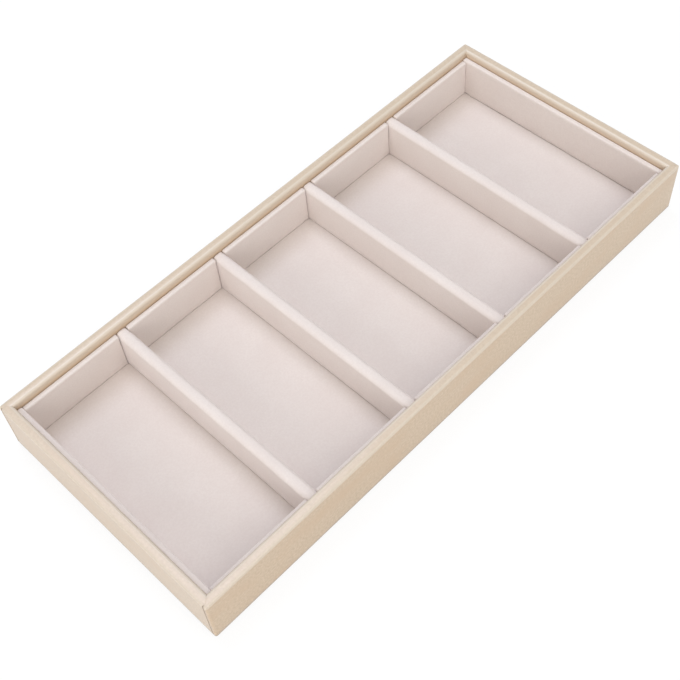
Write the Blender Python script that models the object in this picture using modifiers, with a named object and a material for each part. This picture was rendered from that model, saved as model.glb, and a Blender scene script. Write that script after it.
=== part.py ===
"""A low tray that keeps folded sunglasses, five compartments in a row, lined with velvet.

Its length is along X, its long front wall faces -Y, and its underside lies on Z = 0, in metres.
Four board walls stand on a base board inside leatherette sheets. The lining is a velvet floor,
velvet pads along the walls, and padded dividers from wall to wall.
"""

import math

import bmesh
import bpy
from mathutils import Matrix, Vector

# Outer tray
LENGTH = 0.400
WIDTH = 0.176
WALL_HEIGHT = 0.038  # from the folded lower edge to the rim
CORE = 0.0040  # fibreboard wall inside the sheets
BASE_BOARD = 0.0018
LEATHERETTE = 0.0008
UNDERSIDE_SHEET = 0.0005
UNDERSIDE_MARGIN = 0.0030  # the tray's edge shows round the underside sheet
TURN_UNDER = 0.014  # leatherette folded under the base board
CORNER_TAB = 0.0020  # the long sheets go round the corners this far

# Eased edges of the boards, which the leatherette follows
RIM_OUTER_EASE = 0.0007
RIM_INNER_EASE = 0.0003
FOOT_EASE = 0.0002
CORNER_EASE = 0.0005

# Lining
COMPARTMENTS = 5
ROW_SHIFT = -0.0010  # the dividers stand a little left of even spacing
LINING_DROP = 0.0055  # pads and dividers end this far below the rim
FLOOR_CARD = 0.0005
FLOOR_VELVET = 0.0005
PAD_BOARD = 0.0018
PAD_COVER = 0.0009  # velvet with its thin wadding
PAD_INNER_ROUND = 0.0005
DIVIDER_BOARD = 0.0024
DIVIDER_FOAM = 0.0009
DIVIDER_COVER = 0.0009
FOAM_INNER_ROUND = 0.0002
CROWN = 0.0003  # how far the middle of a padded face stands out

CLEARANCE = 0.0003  # between pieces that are glued or pressed together
ROUND_STEPS = 3

# Places that follow from the sizes, from the underside up
WALL_FOOT = UNDERSIDE_SHEET + CLEARANCE
RIM = WALL_FOOT + WALL_HEIGHT
BASE_FOOT = WALL_FOOT + LEATHERETTE + CLEARANCE
CORE_FOOT = BASE_FOOT + BASE_BOARD + CLEARANCE
VELVET_FOOT = CORE_FOOT + FLOOR_CARD + CLEARANCE
LINING_FOOT = VELVET_FOOT + FLOOR_VELVET + CLEARANCE
LINING_HEIGHT = RIM - LINING_DROP - LINING_FOOT

# Places that follow from the sizes, from the tray's outer face inwards
CORE_INSET = LEATHERETTE + CLEARANCE
WALL = CORE + 2 * CORE_INSET
PAD_BACK = WALL + CLEARANCE
PAD_MARGIN = PAD_COVER + max(
    CLEARANCE, PAD_INNER_ROUND - (PAD_INNER_ROUND - CLEARANCE) / math.sqrt(3)
)  # a board's square corner keeps its clearance inside the cover's round one
PAD = PAD_BOARD + PAD_MARGIN
PAD_FACE = PAD_BACK + PAD
PAD_ROUND = PAD_COVER + PAD_INNER_ROUND
FOAM_INSET = DIVIDER_COVER + CLEARANCE
FOAM_ROUND = DIVIDER_FOAM + FOAM_INNER_ROUND
DIVIDER_ROUND = FOAM_INSET + FOAM_ROUND
BOARD_INSET = FOAM_INSET + DIVIDER_FOAM + CLEARANCE
DIVIDER = DIVIDER_BOARD + 2 * BOARD_INSET
DIVIDERS = COMPARTMENTS - 1
PITCH = (LENGTH - 2 * PAD_FACE + DIVIDER) / COMPARTMENTS

# Colour, roughness and metallic value of each material
FINISHES = {
    "leatherette": ((0.76, 0.66, 0.53), 0.42, 0.25),
    "velvet": ((0.70, 0.62, 0.58), 0.95, 0.0),
    "fibreboard": ((0.45, 0.32, 0.20), 0.85, 0.0),
    "grey_board": ((0.38, 0.36, 0.33), 0.90, 0.0),
    "foam": ((0.80, 0.79, 0.74), 0.95, 0.0),
    "underside_felt": ((0.55, 0.48, 0.42), 0.95, 0.0),
}


def emptied_scene():
    """The scene with nothing in it, and a collection each for the parts and the cutters."""
    for old in list(bpy.data.objects):
        bpy.data.objects.remove(old, do_unlink=True)
    parts = bpy.data.collections.new("sunglasses_organizer")
    cutters = bpy.data.collections.new("cutters")
    for group in (parts, cutters):
        bpy.context.scene.collection.children.link(group)
    return parts, cutters


def made_finish(name):
    """A material with the piece's colour, roughness and metallic value."""
    colour, roughness, metallic = FINISHES[name]
    finish = bpy.data.materials.new(name)
    finish.use_nodes = True
    shader = finish.node_tree.nodes["Principled BSDF"]
    shader.inputs["Base Color"].default_value = (*colour, 1.0)
    shader.inputs["Roughness"].default_value = roughness
    shader.inputs["Metallic"].default_value = metallic
    return finish


PARTS, CUTTERS = emptied_scene()
FINISH = {name: made_finish(name) for name in FINISHES}


def frame_empty(name, parent=None):
    """An empty that carries the pieces of one stage of the assembly."""
    empty = bpy.data.objects.new(name, None)
    empty.empty_display_size = 0.02
    empty.parent = parent
    PARTS.objects.link(empty)
    return empty


TRAY = frame_empty("tray")
OUTER_TRAY = frame_empty("outer_tray", TRAY)
LINING = frame_empty("lining", TRAY)


def block(size, foot=0.0, back=None):
    """A box centred on X and Y that stands at a height. With a back, its rear face is at that Y."""
    bm = bmesh.new()
    bmesh.ops.create_cube(bm, size=1.0)
    bmesh.ops.scale(bm, vec=size, verts=bm.verts)
    middle = 0.0 if back is None else back + size[1] / 2
    bmesh.ops.translate(bm, vec=(0.0, middle, foot + size[2] / 2), verts=bm.verts)
    return bm


def open_side(bm, direction):
    """Takes away the faces that look in one direction, which leaves an open shell."""
    away = Vector(direction)
    faces = [face for face in bm.faces if face.normal.dot(away) > 0.99]
    bmesh.ops.delete(bm, geom=faces, context="FACES_ONLY")


def mark_rounds(bm, rounds):
    """Marks edges with their share of the widest radius, which it returns."""
    widest = max(radius for radius, _ in rounds)
    weights = bm.edges.layers.float.new("bevel_weight_edge")
    for edge in bm.edges:
        first, second = (vert.co for vert in edge.verts)
        for radius, chosen in rounds:
            if chosen(first, second):
                edge[weights] = radius / widest
    return widest


def piece(name, bm, finish, parent, place=(0.0, 0.0, 0.0), turn=0.0):
    """The named object of a mesh, turned about Z and set in its place."""
    mesh = bpy.data.meshes.new(name)
    bm.normal_update()
    bm.to_mesh(mesh)
    bm.free()
    mesh.materials.append(FINISH[finish])
    thing = bpy.data.objects.new(name, mesh)
    thing.parent = parent
    thing.location = place
    thing.rotation_euler = (0.0, 0.0, turn)
    PARTS.objects.link(thing)
    return thing


def rounded(thing, width, limit):
    """Rounds the edges that are marked, or those that turn sharply."""
    bevel = thing.modifiers.new("round", "BEVEL")
    bevel.width = width
    bevel.segments = ROUND_STEPS
    bevel.limit_method = limit
    bevel.angle_limit = math.radians(50)
    bevel.use_clamp_overlap = True
    thing.data.shade_smooth()
    thing.data.set_sharp_from_angle(angle=math.radians(40))


def thickened(thing, thickness):
    """Turns an open surface into a sheet whose outer face stays where it is."""
    solid = thing.modifiers.new("sheet", "SOLIDIFY")
    solid.thickness = thickness
    solid.offset = -1.0
    solid.use_even_offset = True


def cut(thing, cutter, operation):
    """A Boolean with a cutter."""
    boolean = thing.modifiers.new(cutter.name, "BOOLEAN")
    boolean.object = cutter
    boolean.operation = operation
    boolean.solver = "EXACT"


def cutter_object(name, bm):
    """A hidden tool that only cuts."""
    mesh = bpy.data.meshes.new(name)
    bmesh.ops.recalc_face_normals(bm, faces=bm.faces)
    bm.to_mesh(mesh)
    bm.free()
    cutter = bpy.data.objects.new(name, mesh)
    cutter.hide_render = True
    cutter.display_type = "WIRE"
    CUTTERS.objects.link(cutter)
    return cutter


def both(first, second, test):
    """Whether both ends of an edge pass a test."""
    return test(first) and test(second)


def upright(first, second):
    """Whether an edge of a box stands on end."""
    return abs(first.z - second.z) > CLEARANCE


def make_base_board():
    """The board under the whole tray, eased where the leatherette goes round it."""
    size = (LENGTH - 2 * CORE_INSET, WIDTH - 2 * CORE_INSET, BASE_BOARD)
    base = block(size, BASE_FOOT)

    def lower(point):
        return point.z < BASE_FOOT + BASE_BOARD / 2

    rounds = (
        (FOOT_EASE, lambda first, second: both(first, second, lower)),
        (CORNER_EASE, upright),
    )
    widest = mark_rounds(base, rounds)
    rounded(piece("base_board", base, "grey_board", OUTER_TRAY), widest, "WEIGHT")


def make_wall_core(name, span, place, turn, has_corners):
    """A fibreboard wall whose outer face is +Y. The long ones also have the tray's corners."""
    height = RIM - CORE_INSET - CORE_FOOT
    wall = block((span, CORE, height), CORE_FOOT)

    def top(point):
        return point.z > CORE_FOOT + height / 2

    def inner_top(first, second):
        return both(first, second, lambda point: top(point) and point.y < 0)

    def outer_top(first, second):
        outside = both(first, second, lambda point: point.y > 0)
        at_corner = has_corners and abs(first.x - second.x) < CLEARANCE
        return both(first, second, top) and (outside or at_corner)

    def outer_corner(first, second):
        return has_corners and upright(first, second) and first.y > 0

    rounds = (
        (RIM_INNER_EASE, inner_top),
        (RIM_OUTER_EASE, outer_top),
        (CORNER_EASE, outer_corner),
    )
    widest = mark_rounds(wall, rounds)
    rounded(piece(name, wall, "fibreboard", OUTER_TRAY, place, turn), widest, "WEIGHT")


def make_wall_cores():
    """Two long walls, and two end walls that fit between them."""
    length = LENGTH - 2 * CORE_INSET
    end_width = WIDTH - 2 * (CORE_INSET + CORE + CLEARANCE)
    across = WIDTH / 2 - CORE_INSET - CORE / 2
    along = LENGTH / 2 - CORE_INSET - CORE / 2
    make_wall_core("front_wall_core", length, (0.0, -across, 0.0), math.pi, True)
    make_wall_core("back_wall_core", length, (0.0, across, 0.0), 0.0, True)
    make_wall_core("left_wall_core", end_width, (-along, 0.0, 0.0), math.pi / 2, False)
    make_wall_core("right_wall_core", end_width, (along, 0.0, 0.0), -math.pi / 2, False)


def wrap_surface():
    """The outer face of the leatherette: under the base, up, over the rim and down inside."""
    bm = block((LENGTH, WIDTH, WALL_HEIGHT), WALL_FOOT)
    under = next(face for face in bm.faces if face.normal.z < -0.5)
    top = next(face for face in bm.faces if face.normal.z > 0.5)
    bmesh.ops.inset_individual(bm, faces=[under], thickness=TURN_UNDER, use_even_offset=True)
    bmesh.ops.delete(bm, geom=[under], context="FACES_ONLY")
    bmesh.ops.inset_individual(bm, faces=[top], thickness=WALL, use_even_offset=True)
    inner = bmesh.ops.extrude_discrete_faces(bm, faces=[top])["faces"]
    bmesh.ops.translate(bm, vec=(0.0, 0.0, CORE_FOOT - RIM), verts=inner[0].verts)
    bmesh.ops.delete(bm, geom=inner, context="FACES_ONLY")

    def outer(point):
        return abs(point.x) > LENGTH / 2 - CLEARANCE or abs(point.y) > WIDTH / 2 - CLEARANCE

    def inner_rim(point):
        return point.z > RIM - CLEARANCE and not outer(point)

    def outer_rim(point):
        return point.z > RIM - CLEARANCE and outer(point)

    def outer_foot(point):
        return point.z < WALL_FOOT + CLEARANCE and outer(point)

    def corner(first, second):
        return upright(first, second) and both(first, second, outer)

    rounds = (
        (RIM_OUTER_EASE + CORE_INSET, lambda first, second: both(first, second, outer_rim)),
        (RIM_INNER_EASE + CORE_INSET, lambda first, second: both(first, second, inner_rim)),
        (FOOT_EASE + CORE_INSET, lambda first, second: both(first, second, outer_foot)),
        (CORNER_EASE + CORE_INSET, corner),
    )
    return bm, mark_rounds(bm, rounds)


def end_zone(name, side, shrink):
    """All that belongs to an end sheet: a wedge with its point inwards, cut off at the tabs."""
    reach = LENGTH + WIDTH
    bm = block((reach, reach, 4 * WALL_HEIGHT), -2 * WALL_HEIGHT)
    mitre = Matrix.Rotation(math.radians(45), 3, "Z")
    bmesh.ops.rotate(bm, cent=(0.0, 0.0, 0.0), matrix=mitre, verts=bm.verts)
    tip = (LENGTH - WIDTH) / 2 + shrink * math.sqrt(2)
    middle = side * (tip + reach * math.sqrt(0.5))
    bmesh.ops.translate(bm, vec=(middle, 0.0, 0.0), verts=bm.verts)
    for face_y in (-1, 1):
        bmesh.ops.bisect_plane(
            bm,
            geom=[*bm.verts, *bm.edges, *bm.faces],
            plane_co=(0.0, face_y * (WIDTH / 2 - CORNER_TAB - shrink), 0.0),
            plane_no=(0.0, face_y, 0.0),
            clear_outer=True,
        )
        bmesh.ops.holes_fill(bm, edges=bm.edges)
    return cutter_object(name, bm)


def make_wraps():
    """The four leatherette sheets, parted at the corners with a fine seam."""
    far = LENGTH + WIDTH
    for side, word in ((-1, "left"), (1, "right")):
        bm, widest = wrap_surface()
        sheet = piece(f"{word}_wrap", bm, "leatherette", OUTER_TRAY)
        rounded(sheet, widest, "WEIGHT")
        thickened(sheet, LEATHERETTE)
        cut(sheet, end_zone(f"{word}_end", side, CLEARANCE / 2), "INTERSECT")

    taken = (
        end_zone("left_end_taken", -1, -CLEARANCE / 2),
        end_zone("right_end_taken", 1, -CLEARANCE / 2),
    )
    for side, word in ((-1, "front"), (1, "back")):
        half = block((far, far, 4 * WALL_HEIGHT), -2 * WALL_HEIGHT)
        bmesh.ops.translate(half, vec=(0.0, -side * far / 2, 0.0), verts=half.verts)
        bm, widest = wrap_surface()
        sheet = piece(f"{word}_wrap", bm, "leatherette", OUTER_TRAY)
        rounded(sheet, widest, "WEIGHT")
        thickened(sheet, LEATHERETTE)
        cut(sheet, cutter_object(f"beyond_{word}", half), "DIFFERENCE")
        for zone in taken:
            cut(sheet, zone, "DIFFERENCE")


def make_flat_sheets():
    """The underside sheet, and the card and velvet of the floor."""
    length = LENGTH - 2 * UNDERSIDE_MARGIN
    width = WIDTH - 2 * UNDERSIDE_MARGIN
    under = block((length, width, UNDERSIDE_SHEET))
    piece("underside_sheet", under, "underside_felt", OUTER_TRAY)
    length = LENGTH - 2 * PAD_BACK
    width = WIDTH - 2 * PAD_BACK
    card = block((length, width, FLOOR_CARD), CORE_FOOT)
    piece("floor_board", card, "grey_board", LINING)
    velvet = block((length, width, FLOOR_VELVET), VELVET_FOOT)
    piece("floor_cover", velvet, "velvet", LINING)


def add_lines(bm, axis, span, count):
    """Lines across a shell at even steps, so that its faces can swell."""
    direction = Vector((0.0, 0.0, 0.0))
    direction[axis] = 1.0
    for step in range(1, count):
        bmesh.ops.bisect_plane(
            bm,
            geom=[*bm.verts, *bm.edges, *bm.faces],
            plane_co=direction * (span[0] + (span[1] - span[0]) * step / count),
            plane_no=direction,
        )


def swell(along, half_length, height, level):
    """The crown of a padded face at a point: nothing at its edges, CROWN in its middle."""
    across = 1 - (along / half_length) ** 2
    upright = 1 - (2 * level / height - 1) ** 2
    return CROWN * max(across, 0.0) * max(upright, 0.0)


def make_pad(name, width, place, turn):
    """A wall pad: a stiff board, and a velvet cover over its face (+Y) and its edges."""
    size = (width - 2 * PAD_MARGIN, PAD_BOARD, LINING_HEIGHT - 2 * PAD_MARGIN)
    board = block(size, PAD_MARGIN, 0.0)
    piece(name.format("board"), board, "grey_board", LINING, place, turn)

    shell = block((width, PAD, LINING_HEIGHT), 0.0, 0.0)
    open_side(shell, (0.0, -1.0, 0.0))
    add_lines(shell, 0, (-width / 2, width / 2), 4)
    add_lines(shell, 2, (0.0, LINING_HEIGHT), 2)
    for vert in shell.verts:
        if vert.co.y > PAD / 2:
            vert.co.y += swell(vert.co.x, width / 2, LINING_HEIGHT, vert.co.z)
    cover = piece(name.format("cover"), shell, "velvet", LINING, place, turn)
    rounded(cover, PAD_ROUND, "ANGLE")
    thickened(cover, PAD_COVER)


def divider_places():
    """The X of each divider's middle plane, from left to right."""
    return [ROW_SHIFT + (index - (DIVIDERS - 1) / 2) * PITCH for index in range(DIVIDERS)]


def make_pads():
    """Pads along all four walls. Those on the long walls stop at the dividers."""
    across = WIDTH / 2 - PAD_BACK
    along = LENGTH / 2 - PAD_BACK
    make_pad("left_end_pad_{}", 2 * across, (-along, 0.0, LINING_FOOT), -math.pi / 2)
    make_pad("right_end_pad_{}", 2 * across, (along, 0.0, LINING_FOOT), math.pi / 2)

    first = -LENGTH / 2 + PAD_FACE
    last = LENGTH / 2 - PAD_FACE
    sides = [(x - DIVIDER / 2, x + DIVIDER / 2) for x in divider_places()]
    starts = [first, *(right for _, right in sides)]
    ends = [*(left for left, _ in sides), last]
    for number, (start, end) in enumerate(zip(starts, ends), 1):
        width = end - start - 2 * CLEARANCE
        middle = (start + end) / 2
        front = (middle, -across, LINING_FOOT)
        back = (middle, across, LINING_FOOT)
        make_pad(f"front_pad_{{}}_{number}", width, front, 0.0)
        make_pad(f"back_pad_{{}}_{number}", width, back, math.pi)


def make_dividers():
    """Padded dividers from wall to wall: board, foam sleeve, velvet cover."""
    length = WIDTH - 2 * PAD_BACK
    inner_length = length - 2 * DIVIDER_ROUND
    for number, x in enumerate(divider_places(), 1):
        place = (x, 0.0, LINING_FOOT)
        board = block((DIVIDER_BOARD, inner_length, LINING_HEIGHT - BOARD_INSET))
        piece(f"divider_board_{number}", board, "grey_board", LINING, place)

        size = (DIVIDER - 2 * FOAM_INSET, inner_length, LINING_HEIGHT - FOAM_INSET)
        sleeve = block(size)
        for side in ((0.0, 0.0, -1.0), (0.0, -1.0, 0.0), (0.0, 1.0, 0.0)):
            open_side(sleeve, side)
        foam = piece(f"divider_foam_{number}", sleeve, "foam", LINING, place)
        rounded(foam, FOAM_ROUND, "ANGLE")
        thickened(foam, DIVIDER_FOAM)

        shell = block((DIVIDER, length, LINING_HEIGHT))
        open_side(shell, (0.0, 0.0, -1.0))
        add_lines(shell, 1, (-length / 2, length / 2), 6)
        add_lines(shell, 2, (0.0, LINING_HEIGHT), 2)
        for vert in shell.verts:
            out = swell(vert.co.y, length / 2, LINING_HEIGHT, vert.co.z)
            vert.co.x += math.copysign(out, vert.co.x)
        cover = piece(f"divider_cover_{number}", shell, "velvet", LINING, place)
        rounded(cover, DIVIDER_ROUND, "ANGLE")
        thickened(cover, DIVIDER_COVER)


make_base_board()
make_wall_cores()
make_wraps()
make_flat_sheets()
make_pads()
make_dividers()
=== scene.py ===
# A low tray that keeps folded sunglasses: board walls inside champagne leatherette, lined with
# blush velvet, with four padded dividers. The file follows it as it is put together.
import math

import bmesh
import bpy
from mathutils import Matrix, Quaternion, Vector


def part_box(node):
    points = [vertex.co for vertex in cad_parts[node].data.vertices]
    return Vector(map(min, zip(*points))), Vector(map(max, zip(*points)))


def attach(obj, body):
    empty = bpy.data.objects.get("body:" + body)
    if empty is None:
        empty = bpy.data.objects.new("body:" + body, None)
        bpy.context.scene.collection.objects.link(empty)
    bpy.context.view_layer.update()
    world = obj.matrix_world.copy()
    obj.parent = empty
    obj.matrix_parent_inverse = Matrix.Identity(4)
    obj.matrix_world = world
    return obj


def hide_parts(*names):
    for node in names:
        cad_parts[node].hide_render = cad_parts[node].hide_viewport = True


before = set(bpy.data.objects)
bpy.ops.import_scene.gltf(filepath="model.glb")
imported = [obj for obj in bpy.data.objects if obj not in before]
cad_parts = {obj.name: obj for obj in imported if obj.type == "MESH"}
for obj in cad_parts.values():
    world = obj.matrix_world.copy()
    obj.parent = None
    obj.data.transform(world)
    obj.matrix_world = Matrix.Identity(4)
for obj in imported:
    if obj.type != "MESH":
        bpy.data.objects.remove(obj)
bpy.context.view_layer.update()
scene = bpy.context.scene
scene.view_settings.view_transform = "Standard"


# The studio. The tray stands on white paper in a pale room, under broad soft lamps from the
# camera's side and above, and a cooler one behind that shines on the rim. None of it is kept.
LENS = 60.97
CAMERA_PLACE = Vector((-0.2887, -0.3113, 0.5766))
CAMERA_AIM = Vector((-0.0455, -0.0205, 0.0388))
CAMERA_ROLL = math.radians(-6.6)
CAMERA_SHIFT = (0.0186, 0.0079)
NEAREST_SEEN = 0.01
PAPER_SIZE = 24.0
PAPER_DROP = 0.0001  # under the tray's own underside
PAPER_COLOUR = (0.92, 0.91, 0.88)  # as it lights the tray
PAPER_GLOW = 0.85  # the share of plain white that the camera sees in it
ROOM_LIGHT = 0.58
ROOM_COLOUR = (1.0, 0.985, 0.965)
PLAIN_WHITE = (1.0, 1.0, 1.0)
LAMP_DISTANCE = 3.0
LAMPS = (
    # name, direction from the tray and height in degrees, width in metres, power, colour
    ("low_lamp", 225, 20, 1.8, 23.0, (1.0, 1.0, 1.0)),
    ("left_lamp", 180, 24, 1.8, 17.2, (1.0, 0.97, 0.95)),
    ("front_lamp", 270, 55, 1.8, 20.5, (1.0, 1.0, 1.0)),
    ("top_lamp", 240, 75, 1.8, 6.0, (1.0, 1.0, 1.0)),
    ("back_lamp", 74, 68, 1.35, 30.5, (0.74, 0.81, 1.0)),
)

camera_data = bpy.data.cameras.new("view")
camera_data.lens = LENS
camera_data.shift_x, camera_data.shift_y = CAMERA_SHIFT
camera_data.clip_start = NEAREST_SEEN
camera = bpy.data.objects.new("view", camera_data)
camera.location = CAMERA_PLACE
camera.rotation_mode = "QUATERNION"
level_view = (CAMERA_AIM - CAMERA_PLACE).to_track_quat("-Z", "Y")
camera.rotation_quaternion = level_view @ Quaternion((0.0, 0.0, 1.0), CAMERA_ROLL)
scene.collection.objects.link(camera)
scene.camera = camera

for name, direction, height, width, power, colour in LAMPS:
    turned = Matrix.Rotation(math.radians(direction), 3, "Z")
    raised_by = Matrix.Rotation(-math.radians(height), 3, "Y")
    place = turned @ raised_by @ Vector((LAMP_DISTANCE, 0.0, 0.0))
    lamp_data = bpy.data.lights.new(name, "AREA")
    lamp_data.shape = "SQUARE"
    lamp_data.size = width
    lamp_data.energy = power
    lamp_data.color = colour
    lamp = bpy.data.objects.new(name, lamp_data)
    lamp.location = place
    lamp.rotation_mode = "QUATERNION"
    lamp.rotation_quaternion = (-place).to_track_quat("-Z", "Y")
    scene.collection.objects.link(lamp)


def mix_shaders(tree, share, first, second):
    """A mix of two shaders, by a share from 0, the first, to 1, the second."""
    mix = tree.nodes.new("ShaderNodeMixShader")
    tree.links.new(share, mix.inputs[0])
    tree.links.new(first, mix.inputs[1])
    tree.links.new(second, mix.inputs[2])
    return mix.outputs[0]


def calculated(tree, operation, *values):
    """A Math node. Plain numbers are written into its sockets, and the rest are linked."""
    node = tree.nodes.new("ShaderNodeMath")
    node.operation = operation
    for socket, value in zip(node.inputs, values):
        if isinstance(value, bpy.types.NodeSocket):
            tree.links.new(value, socket)
        else:
            socket.default_value = value
    return node.outputs[0]


def seen_directly(tree):
    """1 for the rays that show the surface itself: from the camera, a mirror or glass."""
    path = tree.nodes.new("ShaderNodeLightPath").outputs
    mirrored = calculated(tree, "MAXIMUM", path["Is Glossy Ray"], path["Is Transmission Ray"])
    return calculated(tree, "MAXIMUM", path["Is Camera Ray"], mirrored)


room = bpy.data.worlds.new("room")
room.use_nodes = True
scene.world = room
room_tree = room.node_tree
dim_walls = room_tree.nodes["Background"]
dim_walls.inputs["Color"].default_value = (*ROOM_COLOUR, 1.0)
dim_walls.inputs["Strength"].default_value = ROOM_LIGHT
white_walls = room_tree.nodes.new("ShaderNodeBackground")
white_walls.inputs["Color"].default_value = (*PLAIN_WHITE, 1.0)
walls = mix_shaders(
    room_tree, seen_directly(room_tree), dim_walls.outputs[0], white_walls.outputs[0]
)
room_tree.links.new(walls, room_tree.nodes["World Output"].inputs["Surface"])

paper_finish = bpy.data.materials.new("white_paper")
paper_finish.use_nodes = True
paper_tree = paper_finish.node_tree
paper_tree.nodes.remove(paper_tree.nodes["Principled BSDF"])
seen = seen_directly(paper_tree)
dim_matt = paper_tree.nodes.new("ShaderNodeBsdfDiffuse")
dim_matt.inputs["Color"].default_value = (*PAPER_COLOUR, 1.0)
white_matt = paper_tree.nodes.new("ShaderNodeBsdfDiffuse")
white_matt.inputs["Color"].default_value = (*PLAIN_WHITE, 1.0)
matt = mix_shaders(paper_tree, seen, dim_matt.outputs[0], white_matt.outputs[0])
glow = paper_tree.nodes.new("ShaderNodeEmission")
glow_share = calculated(paper_tree, "MULTIPLY", seen, PAPER_GLOW)
paper_shader = mix_shaders(paper_tree, glow_share, matt, glow.outputs[0])
paper_tree.links.new(paper_shader, paper_tree.nodes["Material Output"].inputs["Surface"])

paper_mesh = bpy.data.meshes.new("paper")
bm = bmesh.new()
bmesh.ops.create_grid(bm, x_segments=1, y_segments=1, size=PAPER_SIZE / 2)
bmesh.ops.translate(bm, vec=(0.0, 0.0, -PAPER_DROP), verts=bm.verts)
bm.to_mesh(paper_mesh)
bm.free()
paper_mesh.materials.append(paper_finish)
paper = bpy.data.objects.new("paper", paper_mesh)
scene.collection.objects.link(paper)


# The boards. Grey bookbinder's board makes the base, the floor card and the stiff core of every
# pad and divider. Fibreboard makes the four walls. They are sawn or cut, and glued.
BOARD_GREY = (0.36, 0.34, 0.31)
BOARD_GREY_LIGHT = (0.50, 0.48, 0.44)
FIBRE_BROWN = (0.36, 0.25, 0.15)
FIBRE_LIGHT = (0.52, 0.39, 0.25)
SOFT_EDGES = (0.3, 0.7)  # where a blotch starts to show, and where it shows in full
FIBRE_LENGTH = 0.0016
FIBRE_STRETCH = (0.35, 1.0, 1.0)
FIBRE_DETAIL = 4.0
FIBRE_EDGES = (0.32, 0.68)
FIBRE_DEPTH = 0.0001
FLECK = 0.0004
FLECK_DETAIL = 1.0
FLECK_EDGES = (0.62, 0.75)
FLECK_SHARE = 0.5
FLECK_SHADE = 0.6  # how dark a fleck is beside the board's own darker tone
FLECK_DEPTH = 0.00004
WORN_PATCH = 0.03
WORN_SHARE = 0.25
BOARD_ROUGHNESS = (0.82, 0.96)


def started_finish(name):
    """A material's own tree, its shader, and the place on the piece, in metres."""
    finish = bpy.data.materials.new(name)
    finish.use_nodes = True
    tree = finish.node_tree
    shader = tree.nodes["Principled BSDF"]
    place = tree.nodes.new("ShaderNodeTexCoord").outputs["Object"]
    return finish, tree, shader, place


def stretched(tree, place, factors):
    """The place with each axis scaled, which draws a pattern out along the smaller ones."""
    mapping = tree.nodes.new("ShaderNodeMapping")
    mapping.inputs["Scale"].default_value = factors
    tree.links.new(place, mapping.inputs["Vector"])
    return mapping.outputs[0]


def clouds(tree, place, size, detail=2.0):
    """Soft blotches about so many metres across, from 0 to 1."""
    noise = tree.nodes.new("ShaderNodeTexNoise")
    noise.inputs["Scale"].default_value = 1.0 / size
    noise.inputs["Detail"].default_value = detail
    tree.links.new(place, noise.inputs["Vector"])
    return noise.outputs["Fac"]


def blended(tree, share, first, second):
    """A colour between two others. Each is three numbers or an output."""
    mix = tree.nodes.new("ShaderNodeMix")
    mix.data_type = "RGBA"
    tree.links.new(share, mix.inputs["Factor"])
    for socket, value in zip((mix.inputs[6], mix.inputs[7]), (first, second)):
        if isinstance(value, bpy.types.NodeSocket):
            tree.links.new(value, socket)
        else:
            socket.default_value = (*value, 1.0)
    return mix.outputs[2]


def share_between(tree, value, low, high, least=0.0, most=1.0):
    """A value brought from low..high to least..most, and held there."""
    node = tree.nodes.new("ShaderNodeMapRange")
    tree.links.new(value, node.inputs["Value"])
    for word, number in zip(("From Min", "From Max", "To Min", "To Max"), (low, high, least, most)):
        node.inputs[word].default_value = number
    return node.outputs[0]


def raised(tree, height, depth, strength=0.5, under=None):
    """A bump as deep as so many metres, over another bump."""
    bump = tree.nodes.new("ShaderNodeBump")
    bump.inputs["Strength"].default_value = strength
    bump.inputs["Distance"].default_value = depth
    tree.links.new(height, bump.inputs["Height"])
    if under is not None:
        tree.links.new(under, bump.inputs["Normal"])
    return bump.outputs[0]


def board_finish(name, dark, light):
    """Pressed fibres: short streaks, flecks, and a slightly furry surface."""
    finish, tree, shader, place = started_finish(name)
    fibres = clouds(tree, stretched(tree, place, FIBRE_STRETCH), FIBRE_LENGTH, FIBRE_DETAIL)
    flecks = clouds(tree, place, FLECK, FLECK_DETAIL)
    patches = clouds(tree, place, WORN_PATCH)
    worn = share_between(tree, patches, *SOFT_EDGES, 0.0, WORN_SHARE)
    pressed = share_between(tree, fibres, *FIBRE_EDGES)
    colour = blended(tree, pressed, dark, light)
    fleck_share = share_between(tree, flecks, *FLECK_EDGES, 0.0, FLECK_SHARE)
    fleck_colour = tuple(channel * FLECK_SHADE for channel in dark)
    colour = blended(tree, fleck_share, colour, fleck_colour)
    colour = blended(tree, worn, colour, light)
    tree.links.new(colour, shader.inputs["Base Color"])
    rough = share_between(tree, flecks, *SOFT_EDGES, *BOARD_ROUGHNESS)
    tree.links.new(rough, shader.inputs["Roughness"])
    normal = raised(tree, fibres, FIBRE_DEPTH)
    normal = raised(tree, flecks, FLECK_DEPTH, under=normal)
    tree.links.new(normal, shader.inputs["Normal"])
    return finish


def finish_nodes(finish, names):
    """Gives CAD pieces, which stay as they are, their finish."""
    for node_name in names:
        for material_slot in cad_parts[node_name].material_slots:
            material_slot.material = finish


grey_board = board_finish("grey_board", BOARD_GREY, BOARD_GREY_LIGHT)
fibreboard = board_finish("fibreboard", FIBRE_BROWN, FIBRE_LIGHT)
board_nodes = [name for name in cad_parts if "board" in name]
finish_nodes(grey_board, board_nodes)
finish_nodes(fibreboard, [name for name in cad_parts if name.endswith("_core")])


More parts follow.
